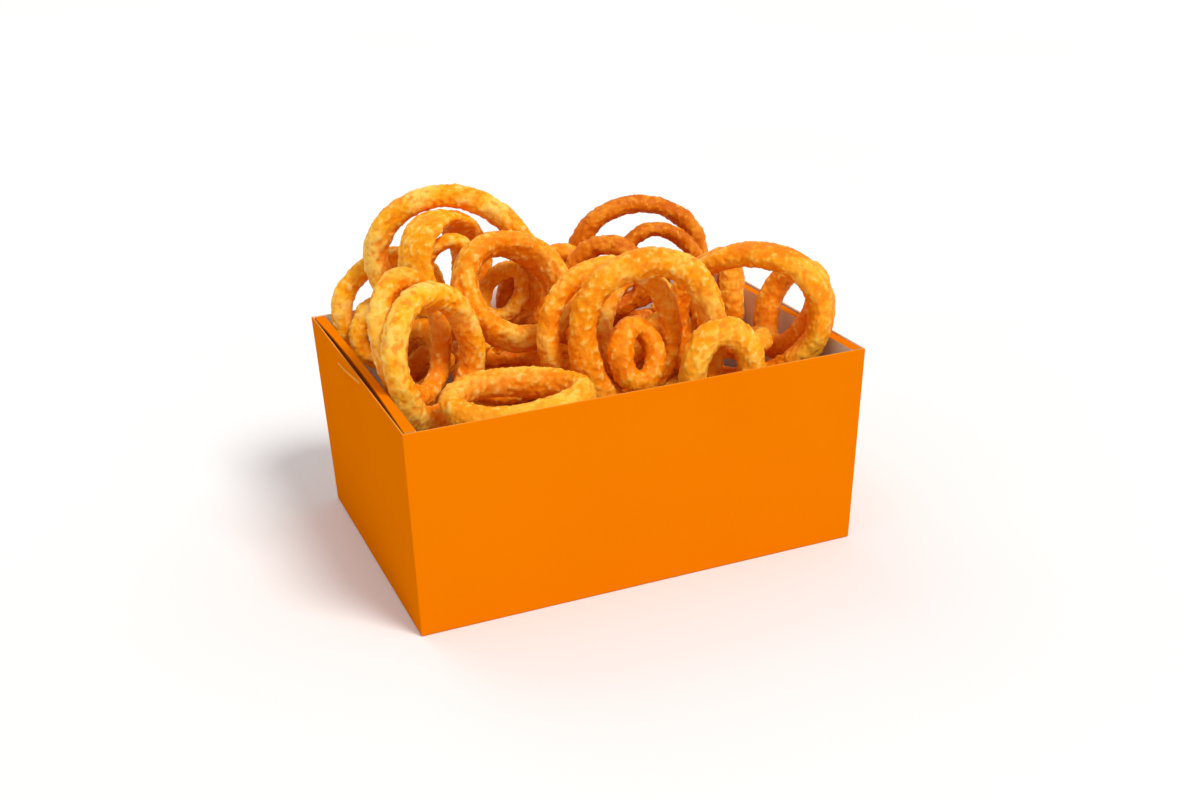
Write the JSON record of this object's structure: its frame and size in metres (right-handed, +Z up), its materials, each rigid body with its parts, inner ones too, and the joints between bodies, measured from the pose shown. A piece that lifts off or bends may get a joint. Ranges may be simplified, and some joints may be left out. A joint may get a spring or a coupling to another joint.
{
  "type": "onion rings side",
  "caption": "Open-topped orange paperboard carton heaped with battered, deep-fried onion rings that stand up above its rim.",
  "frame": {"origin": "middle of the underside of the carton's base", "axes": "+Z up, -Y towards the carton's long front panel, X along that panel"},
  "size_m": [0.2039, 0.1556, 0.1523],
  "materials": {
    "orange_board": "printed paperboard, matt, orange outside and white-grey inside",
    "fried_batter": "crisp golden batter, bumpy, with a slight sheen of oil"
  },
  "bodies": {
    "root": {"carton": "orange_board", "end_fold_left": "orange_board", "end_fold_right": "orange_board", "ring_back_arch": "fried_batter", "ring_back_arch_inner": "fried_batter", "ring_back_left_band": "fried_batter", "ring_back_left_shell": "fried_batter", "ring_back_left_tall": "fried_batter", "ring_back_middle": "fried_batter", "ring_between_1": "fried_batter", "ring_between_2": "fried_batter", "ring_between_3": "fried_batter", "ring_between_4": "fried_batter", "ring_between_5": "fried_batter", "ring_between_6": "fried_batter", "ring_between_7": "fried_batter", "ring_between_8": "fried_batter", "ring_centre_band": "fried_batter", "ring_centre_big": "fried_batter", "ring_centre_curl": "fried_batter", "ring_centre_hooked": "fried_batter", "ring_centre_left": "fried_batter", "ring_centre_left_behind": "fried_batter", "ring_centre_second": "fried_batter", "ring_far_left": "fried_batter", "ring_far_left_inner": "fried_batter", "ring_front_left": "fried_batter", "ring_front_left_behind": "fried_batter", "ring_front_lying": "fried_batter", "ring_front_small": "fried_batter", "ring_left_low": "fried_batter", "ring_middle_lying": "fried_batter", "ring_right_big": "fried_batter", "ring_right_edge_on": "fried_batter", "ring_right_edge_on_near": "fried_batter", "ring_right_outer": "fried_batter", "rings_below": "fried_batter"}
  },
  "joints": []
}
